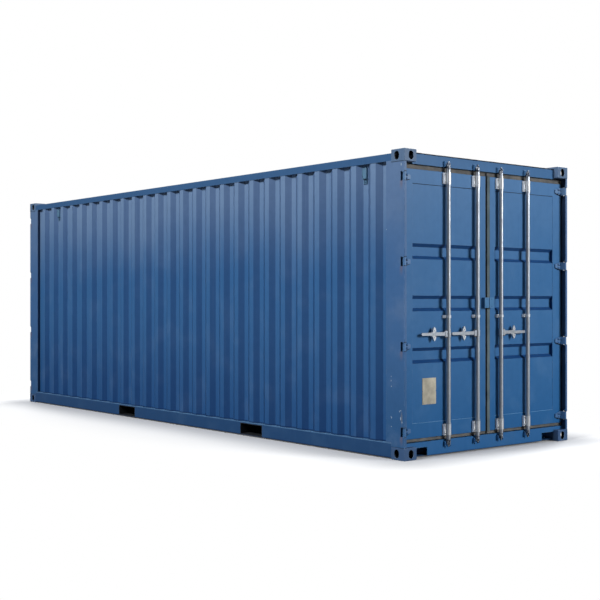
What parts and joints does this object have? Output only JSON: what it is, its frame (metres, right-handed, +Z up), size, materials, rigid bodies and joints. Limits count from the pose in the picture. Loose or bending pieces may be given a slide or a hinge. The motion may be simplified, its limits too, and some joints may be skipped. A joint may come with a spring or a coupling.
{
  "type": "shipping container",
  "caption": "High-cube steel shipping container with corrugated sides, swing doors with lock bars, fork pockets and hollow corner castings.",
  "frame": {"origin": "middle of the footprint, on the ground under the corner castings", "axes": "+X along the length towards the doors that open, -Y the left side, +Z up"},
  "size_m": [7.75, 2.438, 2.896],
  "materials": {
    "wall_paint": "satin blue paint",
    "post_paint": "satin blue paint, worn at the edges",
    "rail_paint": "satin blue paint",
    "frame_paint": "satin blue paint",
    "door_paint": "satin blue paint",
    "roof_paint": "satin blue paint",
    "under_paint": "dark underseal paint",
    "casting_paint": "blue paint rubbed to grey at the edges",
    "galvanised_steel": "hot-dip galvanised",
    "fitting_steel": "galvanised brackets and painted hinge blades",
    "pin_steel": "bare steel with light rust",
    "gasket_rubber": "weathered grey-brown rubber",
    "vent_plastic": "painted over in blue",
    "plate_metal": "bare dull metal",
    "plywood": "varnished plywood"
  },
  "bodies": {
    "root": {"castings_top": "casting_paint", "castings_bottom": "casting_paint", "left_bottom_rail": "rail_paint", "right_bottom_rail": "rail_paint", "left_top_rail": "rail_paint", "right_top_rail": "rail_paint", "left_side_wall": "wall_paint", "right_side_wall": "wall_paint", "left_vents": "vent_plastic", "right_vents": "vent_plastic", "roof": "roof_paint", "front_left_post": "post_paint", "front_right_post": "post_paint", "rear_right_post": "post_paint", "rear_left_post": "post_paint", "hinge_pins": "pin_steel", "front_header": "frame_paint", "rear_header": "frame_paint", "front_sill": "frame_paint", "rear_sill": "frame_paint", "front_keepers": "frame_paint", "rear_keepers": "frame_paint", "fork_pockets": "under_paint", "cross_members": "under_paint", "floor_boards": "plywood", "rear_door_frames": "door_paint", "rear_door_panels": "door_paint", "rear_door_gaskets": "gasket_rubber", "rear_door_fittings": "fitting_steel", "rear_lock_bars": "galvanised_steel"},
    "left_door": {"left_door_frame": "door_paint", "left_door_panel": "door_paint", "left_door_gasket": "gasket_rubber", "left_door_fittings": "fitting_steel", "left_lock_box": "door_paint", "data_plate": "plate_metal"},
    "right_door": {"right_door_frame": "door_paint", "right_door_panel": "door_paint", "right_door_gasket": "gasket_rubber", "right_door_fittings": "fitting_steel", "right_lock_box": "door_paint"},
    "left_outer_bar": {"left_outer_lock_bar": "galvanised_steel"},
    "left_inner_bar": {"left_inner_lock_bar": "galvanised_steel"},
    "right_inner_bar": {"right_inner_lock_bar": "galvanised_steel"},
    "right_outer_bar": {"right_outer_lock_bar": "galvanised_steel"}
  },
  "joints": [
    {"name": "left_door_hinge", "type": "hinge", "parent": "root", "child": "left_door", "pos_m": [3.858, -1.198, 1.453], "axis": [0, 0, -1], "range_deg": [0, 265]},
    {"name": "right_door_hinge", "type": "hinge", "parent": "root", "child": "right_door", "pos_m": [3.858, 1.198, 1.453], "axis": [0, 0, 1], "range_deg": [0, 265]},
    {"name": "left_outer_bar_turn", "type": "hinge", "parent": "left_door", "child": "left_outer_bar", "pos_m": [3.845, -0.594, 1.4525], "axis": [0, 0, -1], "range_deg": [-100, 0]},
    {"name": "left_inner_bar_turn", "type": "hinge", "parent": "left_door", "child": "left_inner_bar", "pos_m": [3.845, -0.176, 1.4525], "axis": [0, 0, -1], "range_deg": [-100, 0]},
    {"name": "right_inner_bar_turn", "type": "hinge", "parent": "right_door", "child": "right_inner_bar", "pos_m": [3.845, 0.176, 1.4525], "axis": [0, 0, 1], "range_deg": [-100, 0]},
    {"name": "right_outer_bar_turn", "type": "hinge", "parent": "right_door", "child": "right_outer_bar", "pos_m": [3.845, 0.594, 1.4525], "axis": [0, 0, 1], "range_deg": [-100, 0]}
  ]
}
